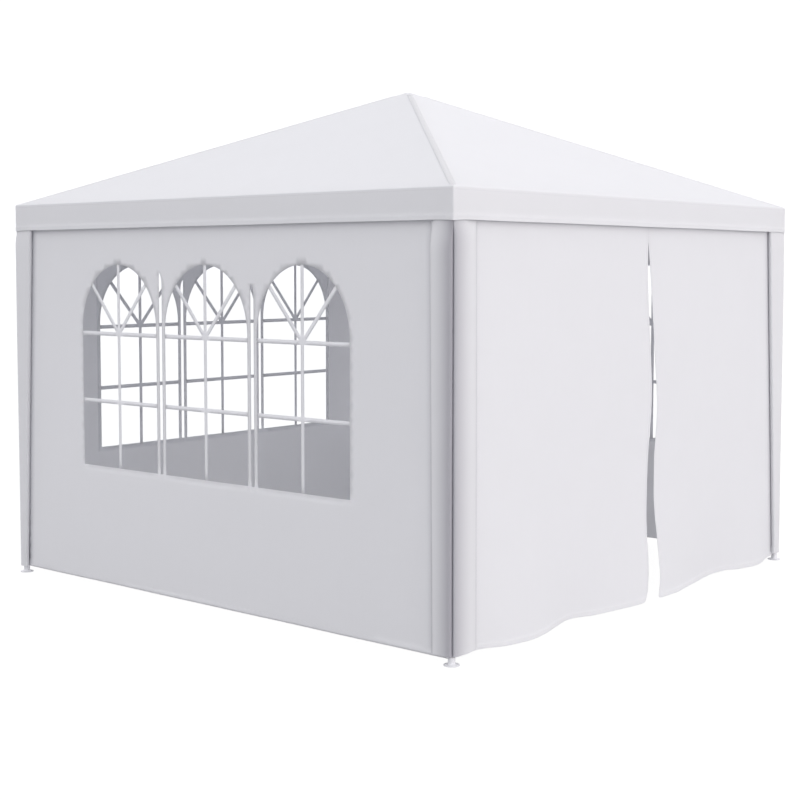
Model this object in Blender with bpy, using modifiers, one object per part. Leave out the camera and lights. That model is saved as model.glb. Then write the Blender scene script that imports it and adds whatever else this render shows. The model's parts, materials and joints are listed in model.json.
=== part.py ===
"""Marquee tent: a 3 m square frame tent with a pyramid roof, three window walls and a slit door.

Metres, +Z up. The origin is on the ground under the middle of the roof. The door wall faces -Y.
Left, right, front and back are as seen by someone who stands in front of the door and looks at it.
"""

import math

import bmesh
import bpy
from mathutils import Matrix, Vector

# ---------------------------------------------------------------- driving dimensions
HALF = 1.500  # outer face of the valance, from the middle
EAVE_Z = 1.9895  # where the roof cloth turns down into the valance
VALANCE_BOTTOM_Z = 1.8536
APEX_Z = 2.615  # top of the roof cloth
CLOTH = 0.002  # cloth thickness of every sheet
GAP = 0.0003  # between neighbours that touch

TUBE_R = 0.0135  # legs, eave rails and hip rafters
SOCKET_R = 0.016  # outside of a socket
BORE_R = 0.0141
LEG_OFFSET = 1.478  # tube centre, from the middle
EAVE_TUBE_Z = 1.973
ARM_LENGTH = 0.085  # of a joint's socket, from the joint's centre
BORE_START = 0.0345
TUBE_START = 0.0365

FOOT_R = 0.035
FOOT_HEIGHT = 0.036
FOOT_FLOOR = 0.008  # bottom of the foot's socket

WALL_PLANE = 1.475  # outer face of the walls, from the middle
WALL_HALF_WIDTH = 1.455
WALL_TOP_Z = 1.950
WALL_HEM_Z = 0.024

ARCH_PITCH = 0.644
ARCH_HALF_WIDTH = 0.2895
ARCH_SILL_Z = 0.636
ARCH_SPRING_Z = 1.345
ARCH_RISE = 0.327  # a little more than half the width: the top is half an ellipse
ARCH_STEPS = 16
WINDOW_SHIFT = {"left": -0.033, "back": 0.027, "right": -0.033}  # along the wall
FILM = 0.001
FILM_MARGIN = 0.024

FLAP_TOP_Z = 1.882
FLAP_HEM_Z = 0.040
FLAP_FACE = 1.4965  # outer face where the flap passes round the leg
FLAP_EDGE_FACE = 1.4788  # outer face where the flap lies on the wall

# Where the two door leaves end at the slit: (height, distance to the right of the middle).
SLIT_LEFT = ((1.79, 0.067), (1.42, 0.082), (1.02, 0.120), (0.56, 0.088), (0.12, 0.122), (0.0, 0.118))
SLIT_RIGHT = ((1.79, 0.069), (1.42, 0.119), (0.95, 0.173), (0.62, 0.150), (0.30, 0.192), (0.0, 0.223))
# The door's hem hangs in waves: (distance from the middle, 0 = short and flat, 1 = long and blown out).
HEM_WAVE = ((-1.455, 0.05), (-0.92, 0.95), (-0.60, 0.0), (0.02, 0.95), (0.42, 0.95), (0.85, 0.05), (1.26, 0.85), (1.455, 0.5))
HEM_HELD = ((-1.31, 0.0), (-1.08, 1.0), (1.26, 1.0), (1.43, 0.0))  # how far the flaps let it blow out
HEM_HIGH_Z, HEM_LOW_Z, HEM_BILLOW = 0.030, 0.008, 0.022
BILLOW_HEIGHT = 0.75

SIDES = {"front": 0.0, "left": -math.pi / 2, "back": math.pi, "right": math.pi / 2}
CORNERS = {"front_left": 0.0, "back_left": -math.pi / 2, "back_right": math.pi, "front_right": math.pi / 2}
# Flap width on its two walls, at the top and at the hem.
FLAP_WIDTHS = {
    "front_left": ((0.155, 0.137), (0.149, 0.186)),
    "back_left": ((0.110, 0.052), (0.110, 0.052)),
    "back_right": ((0.110, 0.052), (0.110, 0.052)),
    "front_right": ((0.128, 0.052), (0.110, 0.052)),
}

SLOPE = math.atan2(APEX_Z - EAVE_Z, HALF)
SLOPE_LENGTH = math.hypot(APEX_Z - EAVE_Z, HALF)
HIP_RUN = LEG_OFFSET * math.sqrt(2)
CROWN_Z = EAVE_TUBE_Z + LEG_OFFSET * (APEX_Z - EAVE_Z) / HALF

FINISHES = {
    "steel": ((0.80, 0.80, 0.82), 0.35, 0.0),
    "fitting": ((0.74, 0.74, 0.77), 0.45, 0.0),
    "foot": ((0.72, 0.72, 0.76), 0.5, 0.0),
    "roof": ((0.84, 0.84, 0.86), 0.6, 0.0),
    "wall": ((0.80, 0.80, 0.83), 0.65, 0.0),
    "film": ((0.80, 0.84, 0.88), 0.08, 0.0),
}


# ---------------------------------------------------------------- helpers
def clear_scene():
    for obj in list(bpy.data.objects):
        bpy.data.objects.remove(obj, do_unlink=True)


def new_collection(name):
    made = bpy.data.collections.new(name)
    bpy.context.scene.collection.children.link(made)
    return made


def finish(obj, kind):
    """Give the object its own material."""
    colour, roughness, metallic = FINISHES[kind]
    material = bpy.data.materials.new(obj.name + "_" + kind)
    material.use_nodes = True
    shader = material.node_tree.nodes["Principled BSDF"]
    shader.inputs["Base Color"].default_value = (*colour, 1.0)
    shader.inputs["Roughness"].default_value = roughness
    shader.inputs["Metallic"].default_value = metallic
    if kind == "film":
        shader.inputs["Alpha"].default_value = 0.2
    obj.data.materials.append(material)


def add(name, data, parent=None, kind=None, helper=False):
    obj = bpy.data.objects.new(name, data)
    (CUTTERS if helper else TENT).objects.link(obj)
    obj.parent = parent
    if helper:
        obj.hide_render = True
        obj.display_type = "WIRE"
    if kind:
        finish(obj, kind)
    return obj


def shaded(mesh):
    mesh.shade_smooth()
    mesh.set_sharp_from_angle(angle=math.radians(40))
    return mesh


def rod(name, start, end, radius, sides=24):
    """A mesh cylinder from start to end."""
    start, end = Vector(start), Vector(end)
    bm = bmesh.new()
    turn = (end - start).to_track_quat("Z", "Y").to_matrix().to_4x4()
    bmesh.ops.create_cone(
        bm, cap_ends=True, segments=sides, radius1=radius, radius2=radius, depth=(end - start).length,
        matrix=Matrix.Translation((start + end) / 2) @ turn,
    )
    mesh = bpy.data.meshes.new(name)
    bm.to_mesh(mesh)
    bm.free()
    return shaded(mesh)


def box(name, low, high):
    low, high = Vector(low), Vector(high)
    bm = bmesh.new()
    bmesh.ops.create_cube(bm, size=1.0, matrix=Matrix.Translation((low + high) / 2) @ Matrix.Diagonal((*(high - low), 1)))
    mesh = bpy.data.meshes.new(name)
    bm.to_mesh(mesh)
    bm.free()
    return mesh


def outline(name, loops, thickness):
    """A flat sheet: closed loops in the curve's own XY plane, the inner ones cut out."""
    curve = bpy.data.curves.new(name, "CURVE")
    curve.dimensions = "2D"
    curve.fill_mode = "BOTH"
    curve.extrude = thickness / 2
    for loop in loops:
        spline = curve.splines.new("POLY")
        spline.points.add(len(loop) - 1)
        for point, (x, y) in zip(spline.points, loop):
            point.co = (x, y, 0, 1)
        spline.use_cyclic_u = True
    return curve


def sheet(name, columns, rows, place):
    """An open grid with its points placed by place(u, v), for Solidify to thicken."""
    bm = bmesh.new()
    bmesh.ops.create_grid(bm, x_segments=columns, y_segments=rows, size=0.5)
    for vert in bm.verts:
        vert.co = place(vert.co.x + 0.5, vert.co.y + 0.5)
    mesh = bpy.data.meshes.new(name)
    bm.to_mesh(mesh)
    bm.free()
    return shaded(mesh)


def thicken(obj, offset):
    solid = obj.modifiers.new("cloth", "SOLIDIFY")
    solid.thickness = CLOTH
    solid.offset = offset
    solid.use_even_offset = True


def eased(stations, at):
    """The value at a place along (place, value) stations, eased from one to the next."""
    stations = sorted(stations)
    if at <= stations[0][0]:
        return stations[0][1]
    for (a, low), (b, high) in zip(stations, stations[1:]):
        if at <= b:
            share = (at - a) / (b - a)
            return low + (high - low) * (1 - math.cos(math.pi * share)) / 2
    return stations[-1][1]


# ---------------------------------------------------------------- the frame of tubes
def joint(name, centre, ways, hub_radius, parent):
    """A hub with one bored socket for each way that a tube leaves it."""
    centre = Vector(centre)
    bm = bmesh.new()
    bmesh.ops.create_uvsphere(bm, u_segments=16, v_segments=8, radius=hub_radius, matrix=Matrix.Translation(centre))
    mesh = bpy.data.meshes.new(name)
    bm.to_mesh(mesh)
    bm.free()
    obj = add(name, shaded(mesh), parent, "fitting")
    for n, way in enumerate(ways):
        way = Vector(way).normalized()
        arm = add(f"{name}_arm_{n}", rod(f"{name}_arm_{n}", centre, centre + way * ARM_LENGTH, SOCKET_R, 16), parent, helper=True)
        join = obj.modifiers.new(f"arm_{n}", "BOOLEAN")
        join.operation, join.solver, join.object = "UNION", "EXACT", arm
    for n, way in enumerate(ways):
        way = Vector(way).normalized()
        bore = add(
            f"{name}_bore_{n}",
            rod(f"{name}_bore_{n}", centre + way * BORE_START, centre + way * (ARM_LENGTH + 0.02), BORE_R + 0.0002, 16),
            parent, helper=True,
        )
        cut = obj.modifiers.new(f"bore_{n}", "BOOLEAN")
        cut.operation, cut.solver, cut.object = "DIFFERENCE", "EXACT", bore
    return obj


def foot(name, parent):
    """A turned foot: a round plate with a socket for the leg, its profile from the socket's floor to the underside."""
    profile = (
        (0.0, FOOT_FLOOR), (BORE_R + 0.0002, FOOT_FLOOR), (BORE_R + 0.0002, FOOT_HEIGHT), (SOCKET_R, FOOT_HEIGHT),
        (SOCKET_R, 0.011), (0.0195, 0.0065), (FOOT_R - 0.001, 0.0045), (FOOT_R, 0.0035), (FOOT_R, 0.0012),
        (FOOT_R - 0.0012, 0.0), (0.0, 0.0),
    )
    bm = bmesh.new()
    verts = [bm.verts.new((r, 0, z)) for r, z in profile]
    for a, b in zip(verts, verts[1:]):
        bm.edges.new((a, b))
    mesh = bpy.data.meshes.new(name)
    bm.to_mesh(mesh)
    bm.free()
    obj = add(name, mesh, parent, "foot")
    obj.location = (-LEG_OFFSET, -LEG_OFFSET, 0)
    turn = obj.modifiers.new("turned", "SCREW")
    turn.steps = turn.render_steps = 24
    turn.use_merge_vertices, turn.merge_threshold = True, 0.0001
    turn.use_smooth_shade = True
    return obj


def build_corner(name, yaw):
    """Leg, foot, joint, hip rafter and cloth flap of one corner, drawn at the front left and turned."""
    turn = add("corner_" + name, None)
    turn.rotation_euler.z = yaw
    c = LEG_OFFSET
    add("leg_" + name, rod("leg_" + name, (-c, -c, FOOT_FLOOR + 0.0005), (-c, -c, EAVE_TUBE_Z - TUBE_START), TUBE_R), turn, "steel")
    foot("foot_" + name, turn)
    hip = Vector((c, c, CROWN_Z - EAVE_TUBE_Z)).normalized()
    start, end = Vector((-c, -c, EAVE_TUBE_Z)), Vector((0, 0, CROWN_Z))
    joint("corner_joint_" + name, start, [(0, 0, -1), (1, 0, 0), (0, 1, 0), hip], 0.0175, turn)
    add("hip_rafter_" + name, rod("hip_rafter_" + name, start + hip * TUBE_START, end - hip * TUBE_START, TUBE_R), turn, "steel")

    (left_top, left_hem), (front_top, front_hem) = FLAP_WIDTHS[name]

    def place(u, v):
        top, hem = (left_top, left_hem) if u < 0.5 else (front_top, front_hem)
        width = hem + (top - hem) * v
        share = abs(2 * u - 1)  # 0 at the corner, 1 at the flap's free edge
        along = FLAP_FACE - share * (width - (HALF - FLAP_FACE))
        out = FLAP_FACE if share <= 0.34 else FLAP_EDGE_FACE + (FLAP_FACE - FLAP_EDGE_FACE) * (1 + math.cos(math.pi * (share - 0.34) / 0.66)) / 2
        z = FLAP_HEM_Z + (FLAP_TOP_Z - FLAP_HEM_Z) * v
        return (-out, -along, z) if u < 0.5 else (-along, -out, z)

    flap = add("corner_flap_" + name, sheet("corner_flap_" + name, 12, 4, place), turn, "wall")
    thicken(flap, -1)


# ---------------------------------------------------------------- the cloth and rail of one side
def arch(middle):
    points = [(middle - ARCH_HALF_WIDTH, ARCH_SILL_Z), (middle + ARCH_HALF_WIDTH, ARCH_SILL_Z)]
    for step in range(ARCH_STEPS + 1):
        turn = math.pi * step / ARCH_STEPS
        points.append((middle + ARCH_HALF_WIDTH * math.cos(turn), ARCH_SPRING_Z + ARCH_RISE * math.sin(turn)))
    return points


def build_side(name, yaw):
    """Eave rail, roof panel and valance of one side, and its window wall, drawn at the front and turned."""
    turn = add("side_" + name, None)
    turn.rotation_euler.z = yaw
    reach = LEG_OFFSET - TUBE_START
    add("eave_rail_" + name, rod("eave_rail_" + name, (-reach, -LEG_OFFSET, EAVE_TUBE_Z), (reach, -LEG_OFFSET, EAVE_TUBE_Z), TUBE_R), turn, "steel")

    inset = 0.001 * math.hypot(SLOPE_LENGTH, HALF) / SLOPE_LENGTH
    roof = add(
        "roof_panel_" + name,
        outline("roof_panel_" + name, [[(inset - HALF, 0), (HALF - inset, 0), (0, SLOPE_LENGTH * (1 - inset / HALF))]], CLOTH),
        turn, "roof",
    )
    roof.rotation_euler.x = SLOPE
    roof.location = Vector((0, -HALF, EAVE_Z)) - Vector((0, -math.sin(SLOPE), math.cos(SLOPE))) * (CLOTH / 2)

    ends = HALF if name in ("front", "back") else HALF - CLOTH - GAP
    top = EAVE_Z - CLOTH * math.cos(SLOPE) - GAP
    add("valance_" + name, box("valance_" + name, (-ends, -HALF, VALANCE_BOTTOM_Z), (ends, -HALF + CLOTH, top)), turn, "roof")

    if name == "front":
        return
    shift = WINDOW_SHIFT[name]
    loops = [[(-WALL_HALF_WIDTH, WALL_HEM_Z), (WALL_HALF_WIDTH, WALL_HEM_Z), (WALL_HALF_WIDTH, WALL_TOP_Z), (-WALL_HALF_WIDTH, WALL_TOP_Z)]]
    loops += [arch(shift + n * ARCH_PITCH) for n in (-1, 0, 1)]
    wall = add("window_wall_" + name, outline("window_wall_" + name, loops, CLOTH), turn, "wall")
    wall.rotation_euler.x = math.pi / 2
    wall.location.y = -WALL_PLANE + CLOTH / 2

    side = ARCH_PITCH + ARCH_HALF_WIDTH + FILM_MARGIN
    near = -WALL_PLANE + CLOTH + 0.0005
    add(
        "window_film_" + name,
        box("window_film_" + name, (shift - side, near, ARCH_SILL_Z - FILM_MARGIN), (shift + side, near + FILM, ARCH_SPRING_Z + ARCH_RISE + FILM_MARGIN)),
        turn, "film",
    )


def build_door_leaf(name):
    """One half of the door wall, from its corner to the slit, with a waving hem."""

    def place(u, v):
        top_x = 0.067 + (-0.0006 if name == "left" else 0.0006)
        stations = SLIT_LEFT if name == "left" else SLIT_RIGHT
        # rows stand closer together near the hem, where the cloth waves
        share = v ** 1.35
        edge_z = share * WALL_TOP_Z
        edge = top_x if edge_z >= 1.79 else eased(stations, edge_z)
        post = -WALL_HALF_WIDTH if name == "left" else WALL_HALF_WIDTH
        x = post + (edge - post) * u if name == "left" else edge + (post - edge) * u
        wave = eased(HEM_WAVE, x)
        hem = HEM_HIGH_Z + (HEM_LOW_Z - HEM_HIGH_Z) * wave
        z = hem + (WALL_TOP_Z - hem) * share
        fade = max(0.0, 1 - z / BILLOW_HEIGHT) ** 2
        return (x, -WALL_PLANE - HEM_BILLOW * wave * fade * eased(HEM_HELD, x), z)

    leaf = add("door_leaf_" + name, sheet("door_leaf_" + name, 16, 12, place), None, "wall")
    thicken(leaf, -1)


# ---------------------------------------------------------------- the tent
clear_scene()
TENT = new_collection("marquee_tent")
CUTTERS = new_collection("cutters")

for corner, angle in CORNERS.items():
    build_corner(corner, angle)
for side, angle in SIDES.items():
    build_side(side, angle)
build_door_leaf("left")
build_door_leaf("right")
fall = (CROWN_Z - EAVE_TUBE_Z) / LEG_OFFSET
joint("crown_joint", (0, 0, CROWN_Z), [(sx, sy, -fall) for sx in (-1, 1) for sy in (-1, 1)], 0.0195, None)
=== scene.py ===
"""Looks of the marquee tent: cloth, clear film, window bars, stitching and small metal parts around its fixed frame.

Metres, +Z up, in the frame's own axes. Each side is drawn as the front (-Y) and turned about Z; on a side, x runs
to the right of someone who stands outside and looks at it. The corners are drawn at the front left and turned.
"""

import json
import math

import bpy
import numpy as np
from mathutils import Matrix, Vector, noise
from mathutils.geometry import delaunay_2d_cdt

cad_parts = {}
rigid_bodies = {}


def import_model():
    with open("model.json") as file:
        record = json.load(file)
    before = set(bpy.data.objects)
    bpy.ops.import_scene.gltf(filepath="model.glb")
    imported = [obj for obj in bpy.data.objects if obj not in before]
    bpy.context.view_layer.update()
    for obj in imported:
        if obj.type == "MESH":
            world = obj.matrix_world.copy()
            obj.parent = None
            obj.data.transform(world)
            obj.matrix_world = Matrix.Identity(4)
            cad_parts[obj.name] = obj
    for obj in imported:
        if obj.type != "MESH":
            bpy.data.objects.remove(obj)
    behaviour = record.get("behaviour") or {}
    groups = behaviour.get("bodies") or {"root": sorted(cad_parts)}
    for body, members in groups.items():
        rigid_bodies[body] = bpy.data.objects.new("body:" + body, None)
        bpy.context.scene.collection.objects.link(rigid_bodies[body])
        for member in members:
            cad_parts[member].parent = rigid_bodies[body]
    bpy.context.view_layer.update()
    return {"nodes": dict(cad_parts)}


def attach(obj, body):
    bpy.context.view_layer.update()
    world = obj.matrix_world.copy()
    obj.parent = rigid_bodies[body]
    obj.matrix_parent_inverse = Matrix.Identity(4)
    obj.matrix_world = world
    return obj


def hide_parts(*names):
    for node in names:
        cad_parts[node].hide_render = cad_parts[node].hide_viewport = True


for leftover in list(bpy.data.objects):
    bpy.data.objects.remove(leftover, do_unlink=True)

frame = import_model()

# ---------------------------------------------------------------- dimensions, as the frame has them
HALF = 1.500
EAVE_Z = 1.9895
VALANCE_BOTTOM_Z = 1.8536
APEX_Z = 2.615
FALL = (APEX_Z - EAVE_Z) / HALF
SLOPE = math.atan(FALL)

TUBE_R = 0.0135
SOCKET_R = 0.016
LEG_OFFSET = 1.478
EAVE_TUBE_Z = 1.973
CROWN_Z = EAVE_TUBE_Z + LEG_OFFSET * FALL

WALL_PLANE = 1.475
WALL_HALF_WIDTH = 1.462
WALL_TOP_Z = 1.950
CLOTH = 0.0012  # woven cloth
HEM_FOLD = 0.020  # height of a folded hem
HEM_STEP = 0.0007  # its second layer

ARCH_PITCH = 0.644
ARCH_HALF_WIDTH = 0.2895
ARCH_SILL_Z = 0.636
ARCH_SPRING_Z = 1.3430
ARCH_RISE = 0.327
WINDOW_SHIFT = {"left": -0.0285, "back": 0.027, "right": -0.0285}
BAR = 0.0205
BAR_LEVELS = (0.9733, 1.3197)
FAN_REACH, FAN_RISE = 0.2085, 0.2495  # the slanting bars, from the upper level bar to the arch
SLOT_HALF_WIDTH = 0.0104
SLOT_TOPS = (1.6317, 1.5817)
FILM_MARGIN = 0.024

SIDES = {"front": 0.0, "left": -math.pi / 2, "back": math.pi, "right": math.pi / 2}
CORNERS = {"front_left": 0.0, "back_left": -math.pi / 2, "back_right": math.pi, "front_right": math.pi / 2}


# ---------------------------------------------------------------- numbers
def eased(stations, at):
    """The value at a place along (place, value) stations, eased from one to the next."""
    if at <= stations[0][0]:
        return stations[0][1]
    for (a, low), (b, high) in zip(stations, stations[1:]):
        if at <= b:
            share = (at - a) / (b - a)
            return low + (high - low) * (1 - math.cos(math.pi * share)) / 2
    return stations[-1][1]


def flowing(stations, at):
    """The value at a place on a smooth curve through (place, value) stations."""
    if at <= stations[0][0]:
        return stations[0][1]
    if at >= stations[-1][0]:
        return stations[-1][1]
    n = next(i for i in range(1, len(stations)) if at <= stations[i][0])
    (x0, y0), (x1, y1) = stations[n - 1], stations[n]

    def slope(i):
        if i == 0 or i == len(stations) - 1:
            return 0.0
        (xa, ya), (xb, yb), (xc, yc) = stations[i - 1 : i + 2]
        left, right = (yb - ya) / (xb - xa), (yc - yb) / (xc - xb)
        return 0.0 if left * right <= 0 else 2 * left * right / (left + right)

    h = x1 - x0
    t = (at - x0) / h
    return (
        (2 * t**3 - 3 * t**2 + 1) * y0 + (t**3 - 2 * t**2 + t) * h * slope(n - 1)
        + (3 * t**2 - 2 * t**3) * y1 + (t**3 - t**2) * h * slope(n)
    )


def ramp(low, high, at):
    share = min(1.0, max(0.0, (at - low) / (high - low)))
    return share * share * (3 - 2 * share)


def soft_noise(x, z, seed):
    """Smooth noise from about -1 to 1."""
    return noise.noise(Vector((x, z, seed * 7.31)))


def turned(points, yaw):
    points = np.asarray(points, float)
    c, s = math.cos(yaw), math.sin(yaw)
    return np.stack([points[:, 0] * c - points[:, 1] * s, points[:, 0] * s + points[:, 1] * c, points[:, 2]], 1)


# ---------------------------------------------------------------- materials
def material(name):
    made = bpy.data.materials.new(name)
    made.use_nodes = True
    tree = made.node_tree
    return made, tree, tree.nodes["Principled BSDF"], tree.nodes["Material Output"]


def node(tree, kind, values=(), **settings):
    """A node with some settings, and its inputs set to numbers or linked from other sockets."""
    made = tree.nodes.new(kind)
    for key, value in settings.items():
        setattr(made, key, value)
    for key, value in dict(values).items():
        if isinstance(value, bpy.types.NodeSocket):
            tree.links.new(value, made.inputs[key])
        else:
            made.inputs[key].default_value = value
    return made


def maths(tree, operation, a, b=0.0):
    return node(tree, "ShaderNodeMath", {0: a, 1: b}, operation=operation).outputs[0]


def woven(tree, across, along, tape):
    """Height of a plain weave of flat tapes: each crossing shows the one or the other set, rounded across its width."""
    scaled = [maths(tree, "MULTIPLY", socket, 1 / tape) for socket in (across, along)]
    whole = [maths(tree, "FLOOR", socket) for socket in scaled]
    parity = maths(tree, "MODULO", maths(tree, "ABSOLUTE", maths(tree, "ADD", whole[0], whole[1])), 2.0)
    ridges = []
    for socket in scaled:
        middle = maths(tree, "ABSOLUTE", maths(tree, "SUBTRACT", maths(tree, "FRACT", socket), 0.5))
        ridges.append(maths(tree, "SUBTRACT", 1.0, maths(tree, "MULTIPLY", maths(tree, "POWER", middle, 2.0), 4.0)))
    return node(tree, "ShaderNodeMix", {0: parity, 2: ridges[0], 3: ridges[1]}, data_type="FLOAT").outputs[0]


def cloth_material(name, colour, through, tape=0.0024, rough=0.55, light=0.30, crumple=0.0010, painted_gap_shade=1.15):
    """Coated woven cloth: a tape weave, faint creases, a little unevenness of colour, light that shines through, and
    painted shade that darkens its colour in folds and narrow gaps.
    """
    made, tree, shader, output = material(name)
    uv = node(tree, "ShaderNodeUVMap", uv_map="cloth").outputs[0]
    parts = node(tree, "ShaderNodeSeparateXYZ", {0: uv})
    weave = woven(tree, parts.outputs[0], parts.outputs[1], tape)
    place = node(tree, "ShaderNodeTexCoord").outputs["Object"]
    creases = node(tree, "ShaderNodeTexNoise", {"Vector": place, "Scale": 5.0, "Detail": 4.0, "Roughness": 0.5, "Distortion": 0.4}).outputs[0]
    fine = node(tree, "ShaderNodeTexNoise", {"Vector": place, "Scale": 60.0, "Detail": 2.0, "Roughness": 0.55}).outputs[0]
    streaks = node(
        tree, "ShaderNodeTexNoise",
        {"Vector": node(tree, "ShaderNodeMapping", {"Vector": uv, "Scale": (140.0, 3.0, 1.0)}).outputs[0], "Scale": 1.0, "Detail": 1.0},
    ).outputs[0]
    tone = maths(tree, "ADD", maths(tree, "MULTIPLY", creases, 0.5), maths(tree, "MULTIPLY", streaks, 0.5))
    tint = node(
        tree, "ShaderNodeMapRange",
        {"Value": tone, "From Min": 0.35, "From Max": 0.65, "To Min": 0.988, "To Max": 1.0},
    ).outputs[0]
    woven_tint = maths(tree, "MULTIPLY", tint, maths(tree, "ADD", maths(tree, "MULTIPLY", weave, 0.02), 0.98))
    clean = node(tree, "ShaderNodeMix", {0: woven_tint, 6: (0.0, 0.0, 0.0, 1.0), 7: (*colour, 1.0)}, data_type="RGBA").outputs[2]
    # painted shade: the colour darkens in deep folds, where the cloth lies double against the tube, following the fold
    # attribute
    fold = node(tree, "ShaderNodeAttribute", attribute_name="fold").outputs["Fac"]
    painted_fold_shade = node(tree, "ShaderNodeMix", {0: fold, 6: clean, 7: (0.020, 0.0, 0.065, 1.0)}, data_type="RGBA").outputs[2]
    base = painted_fold_shade
    if painted_gap_shade:
        # painted shade also darkens the colour in narrow gaps beside other pieces, found by ambient occlusion, on the
        # cloth's outer face and not close to the ground
        open_share = node(tree, "ShaderNodeAmbientOcclusion", {"Distance": 0.040}, samples=4).outputs["AO"]
        height = node(tree, "ShaderNodeSeparateXYZ", {0: place}).outputs[2]
        near_ground = node(tree, "ShaderNodeMapRange", {"Value": height, "From Min": 0.035, "From Max": 0.095, "To Min": 1.0, "To Max": 0.0}).outputs[0]
        geometry = node(tree, "ShaderNodeNewGeometry")
        outwards = node(tree, "ShaderNodeVectorMath", {0: place, 1: geometry.outputs["Normal"]}, operation="DOT_PRODUCT").outputs["Value"]
        inner = maths(tree, "MAXIMUM", maths(tree, "LESS_THAN", outwards, 0.0), geometry.outputs["Backfacing"])
        gap = maths(tree, "MAXIMUM", maths(tree, "POWER", open_share, painted_gap_shade), maths(tree, "MAXIMUM", near_ground, inner))
        base = node(tree, "ShaderNodeMix", {0: gap, 6: (0.30, 0.30, 0.34, 1.0), 7: painted_fold_shade}, data_type="RGBA").outputs[2]
    tree.links.new(base, shader.inputs["Base Color"])
    roughness = node(tree, "ShaderNodeMapRange", {"Value": fine, "From Min": 0.3, "From Max": 0.7, "To Min": rough - 0.05, "To Max": rough + 0.05}).outputs[0]
    tree.links.new(roughness, shader.inputs["Roughness"])
    shader.inputs["IOR"].default_value = 1.42
    first = node(tree, "ShaderNodeBump", {"Height": creases, "Strength": 0.35, "Distance": crumple * 4}).outputs[0]
    second = node(tree, "ShaderNodeBump", {"Height": weave, "Strength": 0.25, "Distance": 0.00018, "Normal": first}).outputs[0]
    tree.links.new(second, shader.inputs["Normal"])
    thin = node(tree, "ShaderNodeBsdfTranslucent", {"Color": (*through, 1.0), "Normal": second})
    mixed = node(tree, "ShaderNodeMixShader", {0: light, 1: shader.outputs[0], 2: thin.outputs[0]})
    tree.links.new(mixed.outputs[0], output.inputs["Surface"])
    return made


def thread_material(name, colour):
    made, tree, shader, _ = material(name)
    place = node(tree, "ShaderNodeTexCoord").outputs["Object"]
    twist = node(tree, "ShaderNodeTexWave", {"Vector": place, "Scale": 900.0, "Distortion": 1.5}, bands_direction="DIAGONAL").outputs[1]
    base = node(tree, "ShaderNodeMix", {0: twist, 6: tuple(c * 0.94 for c in colour) + (1.0,), 7: (*colour, 1.0)}, data_type="RGBA").outputs[2]
    tree.links.new(base, shader.inputs["Base Color"])
    shader.inputs["Roughness"].default_value = 0.6
    tree.links.new(node(tree, "ShaderNodeBump", {"Height": twist, "Strength": 0.3, "Distance": 0.0001}).outputs[0], shader.inputs["Normal"])
    return made


def film_material(name):
    """Clear plastic film: nearly all see-through, with gloss that grows towards grazing angles and faint ripples in it."""
    made, tree, shader, output = material(name)
    place = node(tree, "ShaderNodeTexCoord").outputs["Object"]
    ripples = node(tree, "ShaderNodeTexNoise", {"Vector": place, "Scale": 6.0, "Detail": 2.0, "Distortion": 0.6}).outputs[0]
    haze = node(tree, "ShaderNodeTexNoise", {"Vector": place, "Scale": 38.0, "Detail": 3.0}).outputs[0]
    bump = node(tree, "ShaderNodeBump", {"Height": ripples, "Strength": 0.4, "Distance": 0.003}).outputs[0]
    shader.inputs["Base Color"].default_value = (0.86, 0.89, 0.92, 1.0)
    tree.links.new(bump, shader.inputs["Normal"])
    tree.links.new(
        node(tree, "ShaderNodeMapRange", {"Value": haze, "From Min": 0.3, "From Max": 0.7, "To Min": 0.06, "To Max": 0.14}).outputs[0],
        shader.inputs["Roughness"],
    )
    facing = node(tree, "ShaderNodeLayerWeight", {"Blend": 0.5, "Normal": bump}).outputs["Facing"]
    share = maths(tree, "ADD", maths(tree, "MULTIPLY", maths(tree, "POWER", facing, 5.0), 0.4), 0.008)
    clear = node(tree, "ShaderNodeBsdfTransparent", {"Color": (0.995, 0.997, 1.0, 1.0)})
    mixed = node(tree, "ShaderNodeMixShader", {0: share, 1: clear.outputs[0], 2: shader.outputs[0]})
    tree.links.new(mixed.outputs[0], output.inputs["Surface"])
    return made


def coated_material(name, colour, rough, peel_scale=320.0, peel=0.00006, scuffs=0.05, metallic=0.0, coat=0.0):
    """Powder-coated steel or moulded plastic: fine orange peel, small scuffs and specks that are rougher and duller."""
    made, tree, shader, _ = material(name)
    place = node(tree, "ShaderNodeTexCoord").outputs["Object"]
    peel_noise = node(tree, "ShaderNodeTexNoise", {"Vector": place, "Scale": peel_scale, "Detail": 2.0, "Roughness": 0.5}).outputs[0]
    wear = node(tree, "ShaderNodeTexNoise", {"Vector": place, "Scale": 26.0, "Detail": 5.0, "Roughness": 0.65, "Distortion": 0.8}).outputs[0]
    worn = node(tree, "ShaderNodeMapRange", {"Value": wear, "From Min": 0.60, "From Max": 0.74, "To Min": 0.0, "To Max": 1.0}).outputs[0]
    duller = tuple(c * (1 - scuffs * 2) for c in colour)
    base = node(tree, "ShaderNodeMix", {0: worn, 6: (*colour, 1.0), 7: (*duller, 1.0)}, data_type="RGBA").outputs[2]
    tree.links.new(base, shader.inputs["Base Color"])
    tree.links.new(
        node(tree, "ShaderNodeMapRange", {"Value": worn, "From Min": 0.0, "From Max": 1.0, "To Min": rough, "To Max": min(1.0, rough + 0.22)}).outputs[0],
        shader.inputs["Roughness"],
    )
    shader.inputs["Metallic"].default_value = metallic
    shader.inputs["Coat Weight"].default_value = coat
    tree.links.new(node(tree, "ShaderNodeBump", {"Height": peel_noise, "Strength": 0.4, "Distance": peel}).outputs[0], shader.inputs["Normal"])
    return made


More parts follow.
